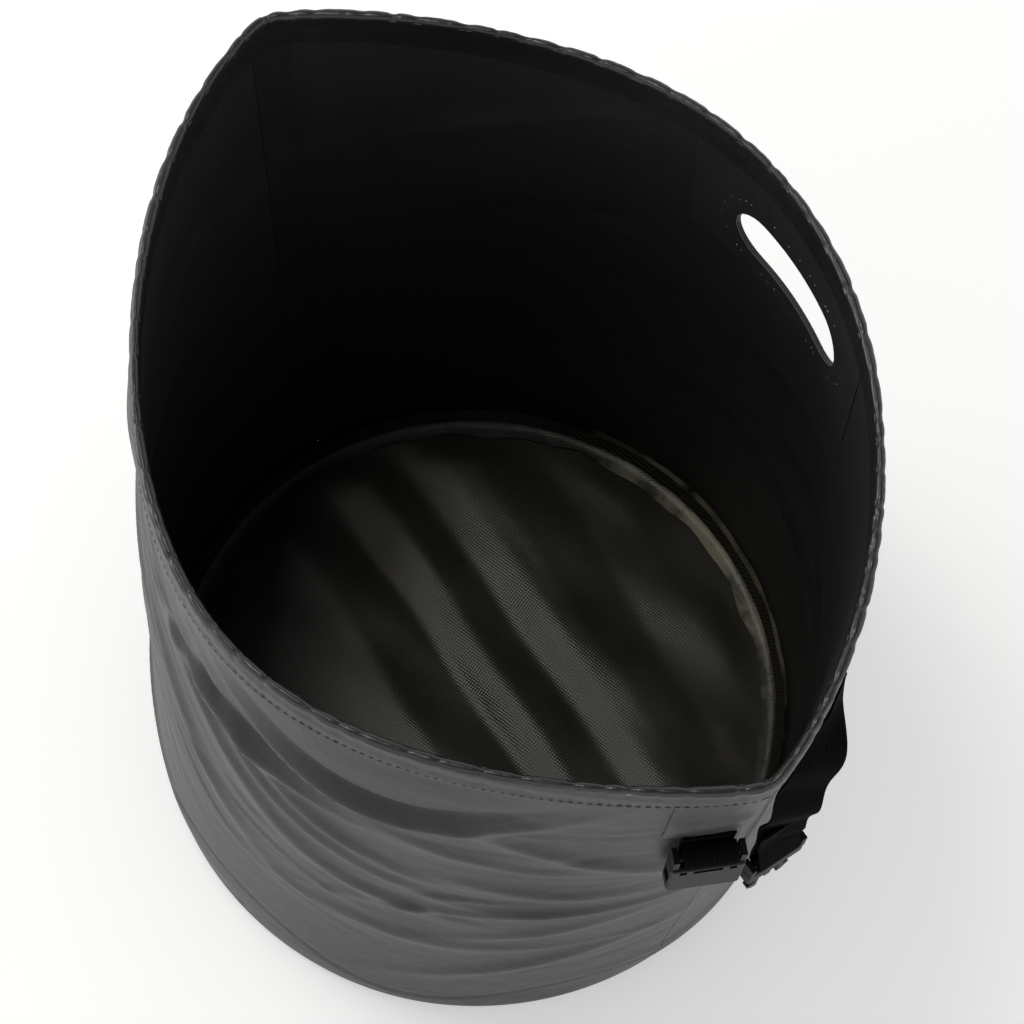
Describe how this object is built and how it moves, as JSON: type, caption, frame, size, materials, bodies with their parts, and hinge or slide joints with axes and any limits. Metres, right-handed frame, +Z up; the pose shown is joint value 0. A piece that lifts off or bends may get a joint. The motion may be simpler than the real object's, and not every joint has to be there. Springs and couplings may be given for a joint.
{
  "type": "roll-top dry bag",
  "caption": "Round-bottomed roll-top dry bag standing open, with a stiffened lens-shaped mouth, a hand hole and webbing straps with side-release buckle halves.",
  "frame": {"origin": "centre of the floor's underside, on the surface that the bag stands on", "axes": "+Z up; +X to one corner of the lens-shaped mouth, where a buckle pair hangs; +Y to the back panel, which has the hand hole"},
  "size_m": [0.4578, 0.38, 0.45],
  "materials": {
    "wall_fabric": "satin film-coated black fabric",
    "floor_fabric": "coarse plain weave, coated, olive-black",
    "seam_tape": "crinkled glossy film",
    "rim_binding": "folded and puckered coated fabric",
    "stiffener": "extruded strip",
    "webbing": "ribbed black webbing",
    "buckle_plastic": "satin moulded black"
  },
  "bodies": {
    "bag": {"front_panel": "wall_fabric", "back_panel": "wall_fabric", "floor_panel": "floor_fabric", "floor_seam_tape": "seam_tape", "right_seam_tape": "seam_tape", "left_seam_tape": "seam_tape", "rim_binding": "rim_binding", "front_stiffener": "stiffener", "back_stiffener": "stiffener", "hand_hole_inner_patch": "wall_fabric", "hand_hole_outer_patch": "wall_fabric", "right_loop_patch": "wall_fabric", "right_webbing_loop": "webbing", "right_strap_patch": "wall_fabric", "left_loop_patch": "wall_fabric", "left_webbing_loop": "webbing", "left_strap_patch": "wall_fabric"},
    "right_female_half": {"right_buckle_female": "buckle_plastic"},
    "right_free_strap": {"right_strap": "webbing"},
    "right_male_half": {"right_buckle_male": "buckle_plastic"},
    "right_front_prong": {"right_prong_front": "buckle_plastic"},
    "right_back_prong": {"right_prong_back": "buckle_plastic"},
    "left_female_half": {"left_buckle_female": "buckle_plastic"},
    "left_free_strap": {"left_strap": "webbing"},
    "left_male_half": {"left_buckle_male": "buckle_plastic"},
    "left_front_prong": {"left_prong_front": "buckle_plastic"},
    "left_back_prong": {"left_prong_back": "buckle_plastic"}
  },
  "joints": [
    {"name": "right_female_swing", "type": "hinge", "parent": "bag", "child": "right_female_half", "pos_m": [0.2176, -0.01936, 0.36461], "axis": [-0.3819, -0.9242, 0], "range_deg": [0, 120]},
    {"name": "right_strap_swing", "type": "hinge", "parent": "bag", "child": "right_free_strap", "pos_m": [0.19174, 0.0619, 0.39876], "axis": [0.5709, -0.821, 0], "range_deg": [0, 120]},
    {"name": "right_male_swing", "type": "hinge", "parent": "right_free_strap", "child": "right_male_half", "pos_m": [0.21119, 0.04022, 0.24], "axis": [0.0523, -0.9986, 0], "range_deg": [-4, 90]},
    {"name": "right_front_prong_squeeze", "type": "hinge", "parent": "right_male_half", "child": "right_front_prong", "pos_m": [0.2116, 0.03243, 0.2197], "axis": [0.9986, 0.0523, 0], "range_deg": [0, 7], "stiffness_Nm_per_rad": 0.02},
    {"name": "right_back_prong_squeeze", "type": "hinge", "parent": "right_male_half", "child": "right_back_prong", "pos_m": [0.21079, 0.04801, 0.2197], "axis": [-0.9986, -0.0523, 0], "range_deg": [0, 7], "stiffness_Nm_per_rad": 0.02},
    {"name": "left_female_swing", "type": "hinge", "parent": "bag", "child": "left_female_half", "pos_m": [-0.21838, -0.01934, 0.36459], "axis": [-0.3455, 0.9384, 0], "range_deg": [0, 120]},
    {"name": "left_strap_swing", "type": "hinge", "parent": "bag", "child": "left_free_strap", "pos_m": [-0.18979, 0.06095, 0.39878], "axis": [0.5731, 0.8195, 0], "range_deg": [0, 120]},
    {"name": "left_male_swing", "type": "hinge", "parent": "left_free_strap", "child": "left_male_half", "pos_m": [-0.21119, 0.04022, 0.24], "axis": [0.0523, 0.9986, 0], "range_deg": [-4, 90]},
    {"name": "left_front_prong_squeeze", "type": "hinge", "parent": "left_male_half", "child": "left_front_prong", "pos_m": [-0.2116, 0.03243, 0.2197], "axis": [0.9986, -0.0523, 0], "range_deg": [0, 7], "stiffness_Nm_per_rad": 0.02},
    {"name": "left_back_prong_squeeze", "type": "hinge", "parent": "left_male_half", "child": "left_back_prong", "pos_m": [-0.21079, 0.04801, 0.2197], "axis": [-0.9986, 0.0523, 0], "range_deg": [0, 7], "stiffness_Nm_per_rad": 0.02}
  ],
  "couplings": [
    {"joint": "right_back_prong_squeeze", "follows": "right_front_prong_squeeze", "ratio": 1},
    {"joint": "left_back_prong_squeeze", "follows": "left_front_prong_squeeze", "ratio": 1}
  ]
}
